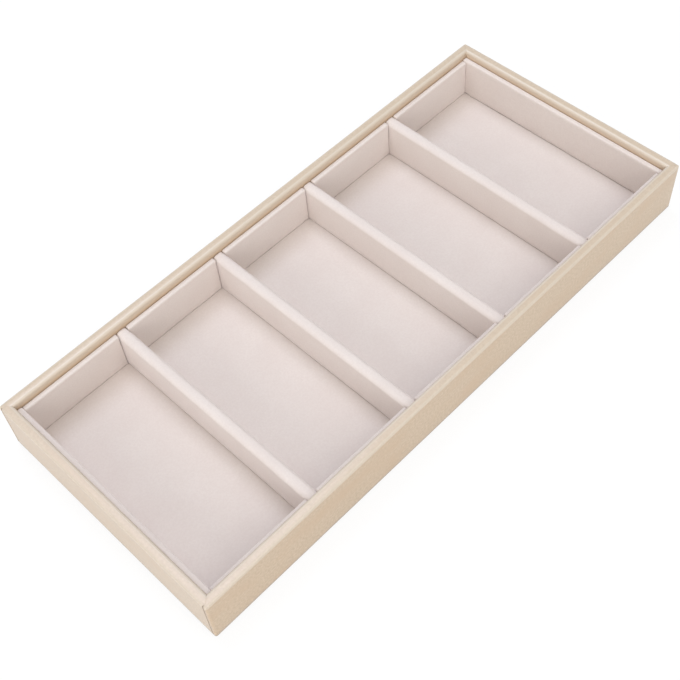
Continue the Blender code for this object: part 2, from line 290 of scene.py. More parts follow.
# The leatherette. One sheet of coated fabric for each wall is glued under the base, goes up the
# outside, over the soft rim and down inside. The sheets meet at mitres on the rim, and the two
# long ones turn a little over 2 mm round the corners, where a fine seam runs down the end faces.
SHEET_THICKNESS = 0.0008
RIM_WIDTH = 0.0062
TURN_UNDER = 0.0140
CORNER_TAB = 0.0024  # what each long sheet shows on an end face
TAB_TAPER = 0.0050  # the height over which it is cut back towards the foot
SEAM_GAP = 0.00035
MITRE_GAP = 0.00001
GROOVE_DEPTH = 0.00018  # how far the edges are pressed down beside a seam
MITRE_SHARE = 0.15  # how much of that shows at a mitre
GROOVE_WIDTH = 0.0007
FOOT_BEND = 0.0009
OUTER_RIM_BEND = 0.0010
INNER_RIM_BEND = 0.0018
RIM_DOME = 6.0  # degrees that the rim's soft top leans at its two edges
FOLD_FADE = 0.0012  # how far below the outer bend the drawn paleness and painted highlight fade out
STRIP_FADE = 0.0030  # and how far below the inner one
CORNER_BEND = 0.0014
UPRIGHT_STEP = 0.0040
CLOSE_STEP = UPRIGHT_STEP / 4  # the step where its look changes within a few millimetres
TOUCHING = 1e-6  # points nearer than this are one point
BEND_STEPS = 6
MIDDLE_COLUMNS = 130
CORNER_COLUMNS = 6
TAB_COLUMNS = 3
WAVE_SIZE = 0.018
WAVE_HEIGHT = 0.00012

CHAMPAGNE = (0.440, 0.326, 0.208)
CHAMPAGNE_LIGHT = (0.570, 0.441, 0.304)
CHAMPAGNE_WARM = (0.504, 0.354, 0.217)
DRAWN_PALE_HIGHLIGHT = (0.615, 0.545, 0.450)  # the coat where it is drawn thin, with a painted highlight
OUTER_PALE_HIGHLIGHT = 0.80  # how much of that paleness and painted highlight the rim's outer bend gets
RIM_PALE_HIGHLIGHT = 0.50  # and on top of the rim
INNER_PALE_HIGHLIGHT = 1.0  # and where the inner bend begins
STRIP_PALE_HIGHLIGHT = 0.60  # and where it ends, on the strip above the lining
CHAMPAGNE_INNER_PAINTED_LIGHT = (0.605, 0.457, 0.320)  # painted light: a lighter tone that lifts the shade inside the walls
SHINE_WARM = (1.0, 0.60, 0.44)
FOOT_PAINTED_SHADOW = (0.30, 0.27, 0.24)  # painted contact shadow along the bend at the foot
FOOT_PAINTED_SHADOW_SHARE = 0.5
FOOT_PAINTED_SHADOW_HEIGHT = 0.0030
SEAM_BROWN = (0.26, 0.19, 0.13)  # the cut edges at a seam
SEAM_SHARE = 0.9
GRAIN = 0.00055
GRAIN_DEPTH = 0.00003
MOTTLE = 0.0016
MOTTLE_DETAIL = 3.0
MOTTLE_DEPTH = 0.00006
MOTTLE_STRENGTH = 0.6
DRIFT = 0.028
DRIFT_STRETCH = (1.0, 1.0, 1.6)
DRIFT_EDGES = (0.45, 0.7)
DRIFT_SHARE = 0.6
LEATHERETTE_ROUGHNESS = (0.37, 0.47)
LEATHERETTE_SHINE = 0.3
COAT_SHARE = 0.64
COAT_IOR = 1.6
COAT_ROUGHNESS = 0.25

front_low, front_high = (Vector(corner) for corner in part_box("front_wrap"))
end_high = Vector(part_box("right_wrap")[1])
TRAY_FOOT = front_low.z
TRAY_RIM = front_high.z
HALF_LENGTH = end_high.x
HALF_WIDTH = -front_low.y
LEG_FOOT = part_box("front_wall_core")[0][2]


def marked_share(tree, name):
    """What the piece's own mesh says at each point, from 0 to 1."""
    mark = tree.nodes.new("ShaderNodeAttribute")
    mark.attribute_name = name
    return mark.outputs["Fac"]


def leatherette_finish():
    """A pearly coat on a fine pebbled grain, paler where it is drawn thin over the rim's bends, with
    painted highlights there, painted light on the inner strip and a painted shadow at the foot.
    """
    finish, tree, shader, place = started_finish("leatherette")
    shader.inputs["Specular IOR Level"].default_value = LEATHERETTE_SHINE
    shader.inputs["Specular Tint"].default_value = (*SHINE_WARM, 1.0)
    shader.inputs["Coat Weight"].default_value = COAT_SHARE
    shader.inputs["Coat IOR"].default_value = COAT_IOR
    shader.inputs["Coat Roughness"].default_value = COAT_ROUGHNESS
    mottle = clouds(tree, place, MOTTLE, MOTTLE_DETAIL)
    drift = clouds(tree, stretched(tree, place, DRIFT_STRETCH), DRIFT)
    mottle_share = share_between(tree, mottle, *SOFT_EDGES)
    colour = blended(tree, mottle_share, CHAMPAGNE, CHAMPAGNE_LIGHT)
    drift_share = share_between(tree, drift, *DRIFT_EDGES, 0.0, DRIFT_SHARE)
    colour = blended(tree, drift_share, colour, CHAMPAGNE_WARM)
    # Painted light: a lighter tone on the inner side, to lift its shade
    colour = blended(tree, marked_share(tree, "clean"), colour, CHAMPAGNE_INNER_PAINTED_LIGHT)
    # Paler where the coat is drawn thin over the bends, partly a painted highlight
    colour = blended(tree, marked_share(tree, "pale_highlight_share"), colour, DRAWN_PALE_HIGHLIGHT)
    height = tree.nodes.new("ShaderNodeSeparateXYZ")
    tree.links.new(place, height.inputs[0])
    # A painted contact shadow at the foot: even over the lower half of its height, then fading
    top_of_shade = TRAY_FOOT + FOOT_PAINTED_SHADOW_HEIGHT
    at_foot = 2 * FOOT_PAINTED_SHADOW_SHARE
    painted_foot_shadow = share_between(tree, height.outputs["Z"], TRAY_FOOT, top_of_shade, at_foot, 0.0)
    painted_foot_shadow = calculated(tree, "MINIMUM", painted_foot_shadow, FOOT_PAINTED_SHADOW_SHARE)
    colour = blended(tree, painted_foot_shadow, colour, FOOT_PAINTED_SHADOW)
    cut_share = calculated(tree, "MULTIPLY", marked_share(tree, "cut"), SEAM_SHARE)
    colour = blended(tree, cut_share, colour, SEAM_BROWN)
    tree.links.new(colour, shader.inputs["Base Color"])
    pebbles = tree.nodes.new("ShaderNodeTexVoronoi")
    pebbles.feature = "SMOOTH_F1"
    pebbles.inputs["Scale"].default_value = 1.0 / GRAIN
    tree.links.new(place, pebbles.inputs["Vector"])
    rough = share_between(tree, mottle, *SOFT_EDGES, *LEATHERETTE_ROUGHNESS)
    tree.links.new(rough, shader.inputs["Roughness"])
    normal = raised(tree, mottle, MOTTLE_DEPTH, MOTTLE_STRENGTH)
    normal = raised(tree, pebbles.outputs["Distance"], GRAIN_DEPTH, under=normal)
    tree.links.new(normal, shader.inputs["Normal"])
    return finish


def straight(start, end, step):
    """Points from start towards end at about even steps, without the end."""
    count = max(1, round((end - start).length / step))
    return [start.lerp(end, index / count) for index in range(count)]


def bend(centre, radius, start, end):
    """Points round a bend, between two angles in degrees."""
    points = []
    for index in range(BEND_STEPS + 1):
        angle = math.radians(start + (end - start) * index / BEND_STEPS)
        points.append(Vector(centre) + radius * Vector((math.cos(angle), math.sin(angle))))
    return points


def cross_section():
    """A sheet's section: each point's distance inwards and height, its share of drawn paleness
    and painted highlight over a bend, and how far it is on the inner side, which gets painted light."""
    foot = bend((FOOT_BEND, TRAY_FOOT + FOOT_BEND), FOOT_BEND, -90, -180)
    lean = math.radians(RIM_DOME)
    dome_start = OUTER_RIM_BEND * (1 - math.sin(lean))
    dome_end = RIM_WIDTH - INNER_RIM_BEND * (1 - math.sin(lean))
    dome_radius = (dome_end - dome_start) / 2 / math.sin(lean)
    dome_centre = ((dome_start + dome_end) / 2, TRAY_RIM - dome_radius)
    edge = dome_centre[1] + dome_radius * math.cos(lean)
    outer_centre = (OUTER_RIM_BEND, edge - OUTER_RIM_BEND * math.cos(lean))
    inner_centre = (RIM_WIDTH - INNER_RIM_BEND, edge - INNER_RIM_BEND * math.cos(lean))
    outer = bend(outer_centre, OUTER_RIM_BEND, 180, 90 + RIM_DOME)
    dome = bend(dome_centre, dome_radius, 90 + RIM_DOME, 90 - RIM_DOME)
    inner = bend(inner_centre, INNER_RIM_BEND, 90 - RIM_DOME, 0)
    first = Vector((TURN_UNDER, TRAY_FOOT))
    last = Vector((RIM_WIDTH, LEG_FOOT))
    taper = Vector((0.0, TRAY_FOOT + TAB_TAPER))
    below_bend = outer[0] - Vector((0.0, FOLD_FADE))
    faded = inner[-1] - Vector((0.0, STRIP_FADE))
    section = [(point, 0.0, 0.0) for point in straight(first, foot[0], UPRIGHT_STEP)]
    section += [(point, 0.0, 0.0) for point in foot[:-1]]
    section += [(point, 0.0, 0.0) for point in straight(foot[-1], taper, CLOSE_STEP)]
    section += [(point, 0.0, 0.0) for point in straight(taper, below_bend, UPRIGHT_STEP)]
    section += [(below_bend, 0.0, 0.0)]
    section += [(point, OUTER_PALE_HIGHLIGHT, 0.0) for point in outer]
    section += [(point, RIM_PALE_HIGHLIGHT, 0.0) for point in dome[1:-1]]
    for index, point in enumerate(inner):
        turned = index / BEND_STEPS
        drawn_highlight = INNER_PALE_HIGHLIGHT + (STRIP_PALE_HIGHLIGHT - INNER_PALE_HIGHLIGHT) * turned
        section.append((point, drawn_highlight, turned))
    strip = straight(inner[-1], faded, CLOSE_STEP)[1:]
    for index, point in enumerate(strip):
        drawn_highlight = STRIP_PALE_HIGHLIGHT * (1.0 - (index + 1) / (len(strip) + 1))
        section.append((point, drawn_highlight, 1.0))
    section += [(point, 0.0, 1.0) for point in straight(faded, last, UPRIGHT_STEP)]
    return [*section, (last, 0.0, 1.0)]


def input_socket(tree, name, kind):
    """A named input of a tree."""
    return tree.interface.new_socket(name=name, in_out="INPUT", socket_type=kind)


def folded_sheet_tree(finish):
    """Geometry Nodes that carry a section along a wall and end it at mitres or round corners."""
    tree = bpy.data.node_groups.new("folded_sheet", "GeometryNodeTree")
    input_socket(tree, "Geometry", "NodeSocketGeometry")
    for name in ("Half Along", "Half Across", "Foot Height", "Turns Corner", "Corner Bend"):
        input_socket(tree, name, "NodeSocketFloat")
    for name in ("Tab", "Tab Taper", "Seam Gap", "Mitre Gap", "Groove Depth", "Groove Width"):
        input_socket(tree, name, "NodeSocketFloat")
    for name in ("Mitre Share", "Wave Size", "Wave Height", "Seed"):
        input_socket(tree, name, "NodeSocketFloat")
    for name in ("Middle Columns", "Corner Columns", "Tab Columns"):
        input_socket(tree, name, "NodeSocketInt")
    tree.interface.new_socket(name="Geometry", in_out="OUTPUT", socket_type="NodeSocketGeometry")
    given = tree.nodes.new("NodeGroupInput").outputs
    result = tree.nodes.new("NodeGroupOutput").inputs[0]

    def node(kind, **inputs):
        """A node with outputs linked into its inputs, by name."""
        made = tree.nodes.new(kind)
        for word, value in inputs.items():
            tree.links.new(value, made.inputs[word.replace("_", " ")])
        return made

    def number(operation, *values):
        """A Math node of this tree."""
        return calculated(tree, operation, *values)

    rows = node("GeometryNodeAttributeDomainSize", Geometry=given["Geometry"]).outputs["Point Count"]
    turns = number("ADD", given["Corner Columns"], given["Tab Columns"])
    steps = number("ADD", given["Middle Columns"], number("MULTIPLY", turns, 2.0))
    columns = number("ADD", steps, 1.0)
    grid = node("GeometryNodeMeshGrid", Vertices_X=columns, Vertices_Y=rows).outputs["Mesh"]
    index = tree.nodes.new("GeometryNodeInputIndex").outputs[0]
    column = number("FLOOR", number("DIVIDE", number("ADD", index, 0.5), rows))
    row = number("SUBTRACT", index, number("MULTIPLY", column, rows))

    pick = tree.nodes.new("GeometryNodeSampleIndex")
    pick.data_type = "FLOAT_VECTOR"
    tree.links.new(given["Geometry"], pick.inputs["Geometry"])
    tree.links.new(row, pick.inputs["Index"])
    tree.links.new(tree.nodes.new("GeometryNodeInputPosition").outputs[0], pick.inputs["Value"])
    section = tree.nodes.new("ShaderNodeSeparateXYZ")
    tree.links.new(pick.outputs["Value"], section.inputs[0])
    inset, height = section.outputs["X"], section.outputs["Z"]

    def named(name):
        """A value stored on the points under a name."""
        stored_value = tree.nodes.new("GeometryNodeInputNamedAttribute")
        stored_value.data_type = "FLOAT"
        stored_value.inputs["Name"].default_value = name
        return stored_value.outputs["Attribute"]

    def of_section(name):
        """The same for the section's own point in this row."""
        picked = tree.nodes.new("GeometryNodeSampleIndex")
        picked.data_type = "FLOAT"
        tree.links.new(given["Geometry"], picked.inputs["Geometry"])
        tree.links.new(row, picked.inputs["Index"])
        tree.links.new(named(name), picked.inputs["Value"])
        return picked.outputs["Value"]

    # How far a column is from the middle: through the straight part, the corner, then the tab
    off_middle = number("SUBTRACT", column, number("DIVIDE", steps, 2.0))
    side = number("SIGN", off_middle)
    distance = number("ABSOLUTE", off_middle)
    half_middle = number("DIVIDE", given["Middle Columns"], 2.0)
    through_middle = number("MINIMUM", number("DIVIDE", distance, half_middle), 1.0)
    past_middle = number("MAXIMUM", number("SUBTRACT", distance, half_middle), 0.0)
    through_corner = number("MINIMUM", number("DIVIDE", past_middle, given["Corner Columns"]), 1.0)
    past_corner = number("MAXIMUM", number("SUBTRACT", past_middle, given["Corner Columns"]), 0.0)
    through_tab = number("MINIMUM", number("DIVIDE", past_corner, given["Tab Columns"]), 1.0)

    # The strip that a long sheet leaves on the end face narrows to the corner's foot
    above = number("DIVIDE", number("SUBTRACT", height, given["Foot Height"]), given["Tab Taper"])
    kept = number("SQRT", number("MINIMUM", number("MAXIMUM", above, 0.0), 1.0))
    over_rim = number("DIVIDE", inset, given["Corner Bend"])
    on_face = number("MAXIMUM", number("SUBTRACT", 1.0, over_rim), 0.0)
    half_gap = number("DIVIDE", number("MULTIPLY", given["Seam Gap"], on_face), 2.0)
    strip = number("MULTIPLY", given["Tab"], kept)
    strip = number("MAXIMUM", strip, number("ADD", given["Corner Bend"], half_gap))

    # An edge is either mitred, where it runs in at 45 degrees, or square, at the seam
    in_mitre = number("GREATER_THAN", inset, number("SUBTRACT", strip, TOUCHING))
    in_seam = number("SUBTRACT", 1.0, in_mitre)
    butts = number("MULTIPLY", in_seam, number("SUBTRACT", 1.0, given["Turns Corner"]))
    turns_here = number("MULTIPLY", in_seam, given["Turns Corner"])
    radius = number("MAXIMUM", number("SUBTRACT", given["Corner Bend"], inset), 0.0)
    radius = number("MULTIPLY", radius, turns_here)
    lost = number("MULTIPLY", inset, number("SUBTRACT", 1.0, butts))
    lost = number("ADD", lost, number("MULTIPLY", butts, number("ADD", strip, half_gap)))
    lost = number("ADD", lost, number("MULTIPLY", in_mitre, given["Mitre Gap"]))
    edge = number("MULTIPLY", given["Groove Width"], number("SUBTRACT", 1.0, turns_here))
    reach = number("SUBTRACT", number("SUBTRACT", given["Half Along"], lost), radius)
    reach = number("SUBTRACT", reach, edge)
    angle = number("MULTIPLY", through_corner, math.pi / 2)
    along = number("MULTIPLY", reach, through_middle)
    along = number("ADD", along, number("MULTIPLY", edge, through_corner))
    along = number("ADD", along, number("MULTIPLY", radius, number("SINE", angle)))
    along = number("MULTIPLY", along, side)
    across = number("SUBTRACT", number("SUBTRACT", given["Half Across"], inset), radius)
    across = number("ADD", across, number("MULTIPLY", radius, number("COSINE", angle)))
    tab = number("SUBTRACT", number("SUBTRACT", strip, inset), radius)
    tab = number("MAXIMUM", number("SUBTRACT", tab, half_gap), 0.0)
    tab = number("MULTIPLY", number("MULTIPLY", tab, through_tab), turns_here)
    across = number("SUBTRACT", across, tab)
    place = tree.nodes.new("ShaderNodeCombineXYZ")
    tree.links.new(along, place.inputs["X"])
    tree.links.new(number("MULTIPLY", across, -1.0), place.inputs["Y"])
    tree.links.new(height, place.inputs["Z"])
    swept = node("GeometryNodeSetPosition", Geometry=grid, Position=place.outputs[0])

    # How near a point is to a seam or a mitre, where the edges are pressed down
    near_tab = number("MULTIPLY", through_tab, turns_here)
    near_end = number("MULTIPLY", through_corner, number("SUBTRACT", 1.0, turns_here))
    near_seam = number("POWER", number("ADD", near_tab, near_end), 2.0)

    def stored(geometry, name, value):
        """The geometry with a value kept on its points under a name."""
        keep = node("GeometryNodeStoreNamedAttribute", Geometry=geometry, Value=value)
        keep.inputs["Name"].default_value = name
        return keep.outputs[0]

    cut = number("MULTIPLY", number("MULTIPLY", near_seam, in_seam), on_face)
    # The painted highlight and the inner side's painted light go onto the sheet's points
    marked = stored(swept.outputs[0], "pale_highlight_share", of_section("pale_highlight_share"))
    marked = stored(marked, "clean", of_section("clean"))
    marked = stored(marked, "cut", cut)
    groove = number("MULTIPLY", number("MULTIPLY", near_seam, in_mitre), given["Mitre Share"])
    marked = stored(marked, "groove", number("MAXIMUM", cut, groove))
    merged = node("GeometryNodeMergeByDistance", Geometry=marked)
    merged.inputs["Distance"].default_value = TOUCHING

    # The glued sheet isn't quite even
    waves = tree.nodes.new("ShaderNodeTexNoise")
    waves.noise_dimensions = "4D"
    waves.inputs["Detail"].default_value = 1.0
    tree.links.new(number("DIVIDE", 1.0, given["Wave Size"]), waves.inputs["Scale"])
    tree.links.new(given["Seed"], waves.inputs["W"])
    wave = number("MULTIPLY", number("SUBTRACT", waves.outputs["Fac"], 0.5), given["Wave Height"])
    pressed = number("MULTIPLY", named("groove"), given["Groove Depth"])
    wave = number("SUBTRACT", wave, pressed)
    offset = tree.nodes.new("ShaderNodeVectorMath")
    offset.operation = "SCALE"
    tree.links.new(tree.nodes.new("GeometryNodeInputNormal").outputs[0], offset.inputs[0])
    tree.links.new(wave, offset.inputs["Scale"])
    uneven = node("GeometryNodeSetPosition", Geometry=merged.outputs[0], Offset=offset.outputs[0])
    real = node("GeometryNodeRealizeInstances", Geometry=uneven.outputs[0])
    covered = node("GeometryNodeSetMaterial", Geometry=real.outputs[0])
    covered.inputs["Material"].default_value = finish
    tree.links.new(covered.outputs[0], result)
    return tree


def made_by_nodes(thing, tree, **values):
    """The plain mesh that a tree makes of an object, with its inputs set by name."""
    modifier = thing.modifiers.new(tree.name, "NODES")
    modifier.node_group = tree
    for item in tree.interface.items_tree:
        key = item.name.lower().replace(" ", "_")
        if item.in_out == "INPUT" and key in values:
            modifier[item.identifier] = values[key]
    scene.collection.objects.link(thing)
    graph = bpy.context.evaluated_depsgraph_get()
    made = bpy.data.meshes.new_from_object(thing.evaluated_get(graph), depsgraph=graph)
    thing.modifiers.remove(modifier)
    return made


leatherette = leatherette_finish()
sheet_tree = folded_sheet_tree(leatherette)
section = cross_section()
SIDES = (
    # name, half the wall's length, half the tray across it, whether it turns the corners, turn
    ("front", HALF_LENGTH, HALF_WIDTH, True, 0.0),
    ("right", HALF_WIDTH, HALF_LENGTH, False, 90.0),
    ("back", HALF_LENGTH, HALF_WIDTH, True, 180.0),
    ("left", HALF_WIDTH, HALF_LENGTH, False, -90.0),
)
for number, (word, half_along, half_across, turns_corner, turn) in enumerate(SIDES):
    outline = bpy.data.meshes.new(f"{word}_section")
    points = [(point.x, 0.0, point.y) for point, _, _ in section]
    outline.from_pydata(points, [(i, i + 1) for i in range(len(points) - 1)], [])
    # The section's shares of drawn paleness with painted highlight, and of the inner side's painted
    # light
    pale_highlight_shares = outline.attributes.new("pale_highlight_share", "FLOAT", "POINT")
    pale_highlight_shares.data.foreach_set("value", [pale_highlight_share for _, pale_highlight_share, _ in section])
    clean = outline.attributes.new("clean", "FLOAT", "POINT")
    clean.data.foreach_set("value", [inside for _, _, inside in section])
    sheet = bpy.data.objects.new(f"{word}_leatherette", outline)
    sheet.data = made_by_nodes(
        sheet,
        sheet_tree,
        half_along=half_along,
        half_across=half_across,
        foot_height=TRAY_FOOT,
        turns_corner=float(turns_corner),
        corner_bend=CORNER_BEND,
        tab=CORNER_TAB,
        tab_taper=TAB_TAPER,
        seam_gap=SEAM_GAP,
        mitre_gap=MITRE_GAP,
        groove_depth=GROOVE_DEPTH,
        groove_width=GROOVE_WIDTH,
        mitre_share=MITRE_SHARE,
        wave_size=WAVE_SIZE,
        wave_height=WAVE_HEIGHT,
        seed=float(number),
        middle_columns=MIDDLE_COLUMNS,
        corner_columns=CORNER_COLUMNS,
        tab_columns=TAB_COLUMNS,
    )
    sheet.data.transform(Matrix.Rotation(math.radians(turn), 4, "Z"))
    sheet.data.shade_smooth()
    thickness = sheet.modifiers.new("thickness", "SOLIDIFY")
    thickness.thickness = SHEET_THICKNESS
    thickness.offset = -1.0
    thickness.use_even_offset = True
    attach(sheet, "root")
    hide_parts(f"{word}_wrap")


# The underside. A thin felt closes the base between the turned edges of the leatherette. It is
# punched from a roll and glued on, so it lies flat.
FELT_COLOUR = (0.46, 0.40, 0.35)
FELT_LIGHT = (0.60, 0.54, 0.48)
FELT_FIBRE = 0.0009
FELT_DETAIL = 5.0
FELT_STRETCH = (1.0, 0.4, 1.0)
FELT_DEPTH = 0.00015
FELT_STRENGTH = 0.6
HAIR_STRETCH = (0.2, 1.0, 1.0)
HAIR_EDGES = (0.6, 0.7)
HAIR_SHARE = 0.6
HAIR_DEPTH = 0.0001
FELT_ROUGHNESS = 0.95
FELT_SHEEN = 0.25
FELT_SHEEN_ROUGHNESS = 0.5
FELT_WAVE = 0.00006
FELT_CORNER = 0.0030
SHEET_STEP = 0.0040
RIPPLE_ALONG = 71.0  # how fast a sheet's soft waves follow each other, in radians a metre
RIPPLE_ACROSS = 53.0
RIPPLE_BEND = 1.3


def felt_finish():
    """Matted fibres with lighter hairs."""
    finish, tree, shader, place = started_finish("underside_felt")
    shader.inputs["Roughness"].default_value = FELT_ROUGHNESS
    shader.inputs["Sheen Weight"].default_value = FELT_SHEEN
    shader.inputs["Sheen Roughness"].default_value = FELT_SHEEN_ROUGHNESS
    matted = clouds(tree, stretched(tree, place, FELT_STRETCH), FELT_FIBRE, FELT_DETAIL)
    hairs = clouds(tree, stretched(tree, place, HAIR_STRETCH), FELT_FIBRE, FELT_DETAIL)
    colour = blended(tree, share_between(tree, matted, *SOFT_EDGES), FELT_COLOUR, FELT_LIGHT)
    light_hairs = share_between(tree, hairs, *HAIR_EDGES, 0.0, HAIR_SHARE)
    colour = blended(tree, light_hairs, colour, FELT_LIGHT)
    tree.links.new(colour, shader.inputs["Base Color"])
    normal = raised(tree, matted, FELT_DEPTH, FELT_STRENGTH)
    normal = raised(tree, hairs, HAIR_DEPTH, under=normal)
    tree.links.new(normal, shader.inputs["Normal"])
    return finish


def flat_sheet(name, low, high, finish, corner, wave):
    """A closed thin sheet between two corners of a box, with an even grid and soft waves."""
    size = high - low
    across = [max(1, round(length / SHEET_STEP)) for length in size[:2]]
    bm = bmesh.new()
    bmesh.ops.create_grid(bm, x_segments=across[0], y_segments=across[1], size=0.5)
    for vert in bm.verts:
        x, y = vert.co.x * size.x, vert.co.y * size.y
        beyond = Vector((abs(x) - size.x / 2 + corner, abs(y) - size.y / 2 + corner))
        if min(beyond) > 0 and beyond.length > corner:
            beyond = beyond.normalized() * corner
            x = math.copysign(size.x / 2 - corner + beyond.x, x)
            y = math.copysign(size.y / 2 - corner + beyond.y, y)
        ripple = math.sin(x * RIPPLE_ALONG + RIPPLE_BEND * math.sin(y * RIPPLE_ACROSS))
        dip = wave * (0.5 + 0.5 * ripple)
        vert.co = Vector((x, y, high.z - dip)) + Vector((*(low + size / 2)[:2], 0.0))
    mesh = bpy.data.meshes.new(name)
    bm.to_mesh(mesh)
    bm.free()
    mesh.materials.append(finish)
    mesh.shade_smooth()
    thing = bpy.data.objects.new(name, mesh)
    scene.collection.objects.link(thing)
    thickness = thing.modifiers.new("thickness", "SOLIDIFY")
    thickness.thickness = size.z - wave
    thickness.offset = -1.0
    return thing


under_low, under_high = (Vector(corner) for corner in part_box("underside_sheet"))
felt = flat_sheet("felt_underside", under_low, under_high, felt_finish(), FELT_CORNER, FELT_WAVE)
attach(felt, "root")
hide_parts("underside_sheet")


# The velvet floor. Short-pile velvet, glued on a thin card that lies on the base board. The nap
# lies a little this way and that, which shows as faint pale and dark blotches.
BLUSH = (0.706, 0.632, 0.588)
BLUSH_LIGHT = (0.732, 0.665, 0.620)
BLUSH_DEEP = (0.638, 0.552, 0.508)
PILE = 0.0003
PILE_DEPTH = 0.00006
NAP = 0.0012
NAP_DETAIL = 3.0
NAP_DEPTH = 0.00010
NAP_STRENGTH = 0.35
NAP_DRIFT = 0.022
NAP_EDGES = (0.35, 0.65)
DEEP_SHARE = 0.35
PILE_SHARE = 0.25
VELVET_ROUGHNESS = 0.92
VELVET_SHINE = 0.2
VELVET_SHEEN = 0.7
VELVET_SHEEN_ROUGHNESS = 0.45
VELVET_SHEEN_COLOUR = (1.0, 0.94, 0.95)
FLOOR_WAVE = 0.00010
FLOOR_CORNER = 0.0005


def velvet_finish():
    """Short upright pile: matt, with a pale bloom where it is seen edge on."""
    finish, tree, shader, place = started_finish("velvet")
    shader.inputs["Roughness"].default_value = VELVET_ROUGHNESS
    shader.inputs["Specular IOR Level"].default_value = VELVET_SHINE
    shader.inputs["Sheen Weight"].default_value = VELVET_SHEEN
    shader.inputs["Sheen Roughness"].default_value = VELVET_SHEEN_ROUGHNESS
    shader.inputs["Sheen Tint"].default_value = (*VELVET_SHEEN_COLOUR, 1.0)
    pile = clouds(tree, place, PILE)
    nap = clouds(tree, place, NAP, NAP_DETAIL)
    drift = clouds(tree, place, NAP_DRIFT)
    colour = blended(tree, share_between(tree, drift, *SOFT_EDGES), BLUSH, BLUSH_LIGHT)
    nap_share = share_between(tree, nap, *NAP_EDGES, 0.0, DEEP_SHARE)
    colour = blended(tree, nap_share, colour, BLUSH_DEEP)
    pile_share = share_between(tree, pile, *NAP_EDGES, 0.0, PILE_SHARE)
    colour = blended(tree, pile_share, colour, BLUSH_LIGHT)
    tree.links.new(colour, shader.inputs["Base Color"])
    normal = raised(tree, nap, NAP_DEPTH, NAP_STRENGTH)
    normal = raised(tree, pile, PILE_DEPTH, under=normal)
    tree.links.new(normal, shader.inputs["Normal"])
    return finish


velvet = velvet_finish()
floor_low, floor_high = (Vector(corner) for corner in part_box("floor_cover"))
velvet_floor = flat_sheet("velvet_floor", floor_low, floor_high, velvet, FLOOR_CORNER, FLOOR_WAVE)
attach(velvet_floor, "root")
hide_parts("floor_cover")


# The wall pads. Each is a stiff board with thin wadding and velvet drawn over its face and turned
# round its edges. Two run along the end walls, and ten stand between the dividers.
COMPARTMENTS = 5
PAD_CROWN = 0.0003
PAD_VELVET = 0.0009
PAD_TOP_ROUND = 0.0015
PAD_FACE_ROUND = 0.0010
PAD_BACK_ROUND = 0.0002
PAD_END_ROUND = 0.0008
PAD_FOOT_ROUND = 0.0002
PILE_HEIGHT = 0.0003  # how far the pile stands above the boards' own edge
END_PAD_RISE = 0.0009  # the two at the end walls stand a little higher
PAD_END_GIVE = 0.0002  # how much nearer the soft ends come to the dividers than the boards
PAD_BACK_GIVE = 0.0002  # and how much nearer their turned backs come to the walls
FOOT_CLEARANCE = 0.00005  # between a soft foot and the velvet floor
FACE_STEP = 0.0024
ROUND_CUT = math.tan(math.radians(22.5))  # each round is cut once, halfway through its turn
STUFFING_SCALE = 10.0  # the cloth is swollen ten times as large, where its solver works well
STUFFING_FRAMES = 20
STUFFING_PRESSURE = 12.0
CLOTH_MASS = 0.06
CLOTH_STEPS = 6
PAD_LIMIT = Vector((0.00008, 0.00030, 0.00010))  # how far it swells: length, face, height
GLUED_DEPTH = 0.00001  # what is this near a shell's glued side belongs to it
GLUED_FACING = 0.9  # and how squarely its faces look that way
IN_ROUND = 1e-9  # past the start of a round by more than rounding
SOFT_FOOT = floor_high.z + FOOT_CLEARANCE


def cut_places(low_end, high_end, low_round, high_round):
    """Where an edge is cut: once in the round at each end, then at even steps between them."""
    first, last = low_end + low_round, high_end - high_round
    count = max(1, round((last - first) / FACE_STEP))
    places = [low_end + low_round * (1 - ROUND_CUT), high_end - high_round * (1 - ROUND_CUT)]
    places += [first + (last - first) * step / count for step in range(count + 1)]
    return sorted({round(place, 7) for place in places if low_end < place < high_end})


def soft_block(low, high, low_rounds, high_rounds):
    """A closed box whose edges are round. Each of its six sides has its own depth of round."""
    bm = bmesh.new()
    bmesh.ops.create_cube(bm, size=1.0)
    bmesh.ops.scale(bm, vec=high - low, verts=bm.verts)
    bmesh.ops.translate(bm, vec=(low + high) / 2, verts=bm.verts)
    for axis in range(3):
        normal = Vector((0.0, 0.0, 0.0))
        normal[axis] = 1.0
        for place in cut_places(low[axis], high[axis], low_rounds[axis], high_rounds[axis]):
            everything = [*bm.verts, *bm.edges, *bm.faces]
            bmesh.ops.bisect_plane(bm, geom=everything, plane_co=normal * place, plane_no=normal)
    for vert in bm.verts:
        core, turn, rounds = vert.co.copy(), Vector((0.0, 0.0, 0.0)), Vector((0.0, 0.0, 0.0))
        for axis in range(3):
            past_low = low[axis] + low_rounds[axis] - vert.co[axis]
            past_high = vert.co[axis] - high[axis] + high_rounds[axis]
            if past_low > IN_ROUND:
                rounds[axis] = low_rounds[axis]
                turn[axis] = -past_low / low_rounds[axis]
                core[axis] += past_low
            elif past_high > IN_ROUND:
                rounds[axis] = high_rounds[axis]
                turn[axis] = past_high / high_rounds[axis]
                core[axis] -= past_high
        if turn.length > IN_ROUND:
            turn.normalize()
            vert.co = core + Vector([t * r for t, r in zip(turn, rounds)])
    return bm


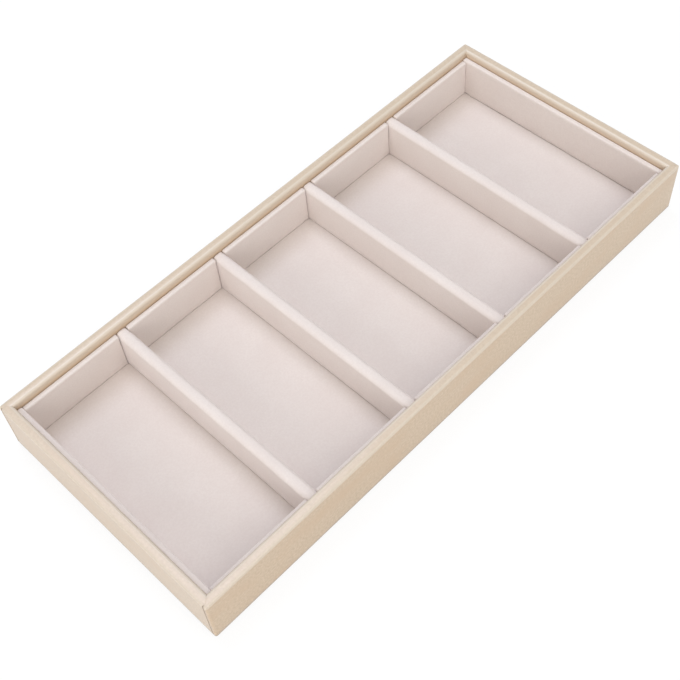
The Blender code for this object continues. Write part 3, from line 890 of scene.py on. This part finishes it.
def swollen(shells, limit):
    """Lets the stuffing push cloth shells out, by no more than a limit along each axis."""
    trials = []
    for shell, held in shells:
        trial = bpy.data.objects.new(f"{shell.name}_trial", shell.data.copy())
        trial.data.transform(Matrix.Scale(STUFFING_SCALE, 4))
        scene.collection.objects.link(trial)
        glued = trial.vertex_groups.new(name="glued")
        glued.add(held, 1.0, "REPLACE")
        cloth = trial.modifiers.new("stuffing", "CLOTH")
        cloth.settings.quality = CLOTH_STEPS
        cloth.settings.mass = CLOTH_MASS
        cloth.settings.vertex_group_mass = "glued"
        cloth.settings.use_pressure = True
        cloth.settings.uniform_pressure_force = STUFFING_PRESSURE
        cloth.settings.effector_weights.gravity = 0.0
        cloth.point_cache.frame_start = 1
        cloth.point_cache.frame_end = STUFFING_FRAMES
        trials.append(trial)
    for moment in range(1, STUFFING_FRAMES + 1):
        scene.frame_set(moment)
    graph = bpy.context.evaluated_depsgraph_get()
    for (shell, _), trial in zip(shells, trials):
        pushed = trial.evaluated_get(graph).data.vertices
        for vert, there in zip(shell.data.vertices, pushed):
            move = there.co / STUFFING_SCALE - vert.co
            vert.co += Vector([min(max(m, -most), most) for m, most in zip(move, limit)])
        spent = trial.data
        bpy.data.objects.remove(trial)
        bpy.data.meshes.remove(spent)
    scene.frame_set(1)


def velvet_cover(shell, open_side, matrix, cover_thickness):
    """Opens a shell at its glued side, sets it in its place and gives the velvet its thickness."""
    bm = bmesh.new()
    bm.from_mesh(shell.data)
    bm.normal_update()
    glued = [face for face in bm.faces if face.normal.dot(open_side) > GLUED_FACING]
    far = max(face.calc_center_median().dot(open_side) for face in glued)
    near = far - GLUED_DEPTH
    glued = [face for face in glued if face.calc_center_median().dot(open_side) > near]
    bmesh.ops.delete(bm, geom=glued, context="FACES_ONLY")
    loose = [vert for vert in bm.verts if not vert.link_faces]
    bmesh.ops.delete(bm, geom=loose, context="VERTS")
    bmesh.ops.transform(bm, matrix=matrix, verts=bm.verts)
    bm.to_mesh(shell.data)
    bm.free()
    shell.data.materials.append(velvet)
    shell.data.shade_smooth()
    smoother = shell.modifiers.new("smoother", "SUBSURF")
    smoother.levels = 1
    smoother.render_levels = 1
    thickness = shell.modifiers.new("thickness", "SOLIDIFY")
    thickness.thickness = cover_thickness
    thickness.offset = -1.0


def new_shell(name, bm):
    """A shell that isn't in its place yet."""
    mesh = bpy.data.meshes.new(name)
    bm.to_mesh(mesh)
    bm.free()
    shell = bpy.data.objects.new(name, mesh)
    scene.collection.objects.link(shell)
    return shell


PADS = [("left_end_pad_cover", -90.0), ("right_end_pad_cover", 90.0)]
for number in range(1, COMPARTMENTS + 1):
    PADS += [(f"front_pad_cover_{number}", 0.0), (f"back_pad_cover_{number}", 180.0)]
pad_back = Vector((0.0, -1.0, 0.0))
pad_shells = []
for node_name, turn in PADS:
    low, high = (Vector(corner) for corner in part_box(node_name))
    turned = Matrix.Rotation(math.radians(turn), 4, "Z")
    face = turned.to_3x3() @ Vector((0.0, 1.0, 0.0))
    half = (high - low) / 2
    reach = abs(half.dot(face))
    wide = abs(half.x * face.y) + abs(half.y * face.x) + PAD_END_GIVE
    depth = 2 * reach + PAD_BACK_GIVE - PAD_CROWN
    back = (low + high) / 2 - face * (reach + PAD_BACK_GIVE)
    back.z = SOFT_FOOT
    corner_low = Vector((-wide, 0.0, 0.0))
    rise = PILE_HEIGHT
    if "end_pad" in node_name:
        rise += END_PAD_RISE
    corner_high = Vector((wide, depth, high.z + rise - SOFT_FOOT))
    low_rounds = (PAD_END_ROUND, PAD_BACK_ROUND, PAD_FOOT_ROUND)
    high_rounds = (PAD_END_ROUND, PAD_FACE_ROUND, PAD_TOP_ROUND)
    block = soft_block(corner_low, corner_high, low_rounds, high_rounds)
    shell = new_shell(node_name.replace("pad_cover", "velvet_pad"), block)
    held = [vert.index for vert in shell.data.vertices if vert.co.y < TOUCHING]
    pad_shells.append((shell, held, node_name, Matrix.Translation(back) @ turned))
swollen([(shell, held) for shell, held, _, _ in pad_shells], PAD_LIMIT)
for shell, _, node_name, matrix in pad_shells:
    velvet_cover(shell, pad_back, matrix, PAD_VELVET)
    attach(shell, "root")
    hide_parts(node_name)


# The dividers. Four boards in thin foam sleeves, which make their tops soft and round, covered in
# the same velvet. Their ends are glued in the gaps between the wall pads.
DIVIDER_CROWN = 0.0003
DIVIDER_VELVET = 0.0009
DIVIDER_ROUND = 0.0023
DIVIDER_END_ROUND = 0.0004
DIVIDER_END_HELD = 0.0036  # what is glued in the gap between two wall pads
DIVIDER_LIMIT = Vector((0.00025, 0.00008, 0.00015))  # how far it swells: faces, length, height
FOAM_PALE = (0.80, 0.79, 0.72)
FOAM_CELL_DARK = (0.55, 0.53, 0.46)
FOAM_CELL = 0.0007
FOAM_CELL_DEPTH = 0.0002
FOAM_CELL_STRENGTH = 0.8
FOAM_CELL_EDGES = (0.1, 0.6)
FOAM_PATCH = 0.01
FOAM_PATCH_SHARE = 0.2
FOAM_ROUGHNESS = 0.95


def foam_finish():
    """Open cells, a little paler in patches."""
    finish, tree, shader, place = started_finish("foam")
    shader.inputs["Roughness"].default_value = FOAM_ROUGHNESS
    cells = tree.nodes.new("ShaderNodeTexVoronoi")
    cells.inputs["Scale"].default_value = 1.0 / FOAM_CELL
    tree.links.new(place, cells.inputs["Vector"])
    walls_share = share_between(tree, cells.outputs["Distance"], *FOAM_CELL_EDGES)
    colour = blended(tree, walls_share, FOAM_CELL_DARK, FOAM_PALE)
    patches = clouds(tree, place, FOAM_PATCH)
    tone = share_between(tree, patches, *SOFT_EDGES, 0.0, FOAM_PATCH_SHARE)
    tree.links.new(blended(tree, tone, colour, FOAM_PALE), shader.inputs["Base Color"])
    normal = raised(tree, cells.outputs["Distance"], FOAM_CELL_DEPTH, FOAM_CELL_STRENGTH)
    tree.links.new(normal, shader.inputs["Normal"])
    return finish


finish_nodes(foam_finish(), [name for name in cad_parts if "_foam_" in name])
divider_foot = Vector((0.0, 0.0, -1.0))
divider_shells = []
for number in range(1, COMPARTMENTS):
    node_name = f"divider_cover_{number}"
    low, high = (Vector(corner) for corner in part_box(node_name))
    middle = (low + high) / 2
    middle.z = SOFT_FOOT
    half = (high - low) / 2
    corner_low = Vector((-half.x + DIVIDER_CROWN, -half.y, 0.0))
    top = high.z + PILE_HEIGHT - SOFT_FOOT
    corner_high = Vector((half.x - DIVIDER_CROWN, half.y, top))
    low_rounds = (DIVIDER_ROUND, DIVIDER_END_ROUND, PAD_FOOT_ROUND)
    high_rounds = (DIVIDER_ROUND, DIVIDER_END_ROUND, DIVIDER_ROUND)
    block = soft_block(corner_low, corner_high, low_rounds, high_rounds)
    shell = new_shell(f"velvet_divider_{number}", block)
    glued_end = half.y - DIVIDER_END_HELD
    held = []
    for vert in shell.data.vertices:
        if vert.co.z < TOUCHING or abs(vert.co.y) > glued_end:
            held.append(vert.index)
    divider_shells.append((shell, held, node_name, Matrix.Translation(middle)))
swollen([(shell, held) for shell, held, _, _ in divider_shells], DIVIDER_LIMIT)
for shell, _, node_name, matrix in divider_shells:
    velvet_cover(shell, divider_foot, matrix, DIVIDER_VELVET)
    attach(shell, "root")
    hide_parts(node_name)
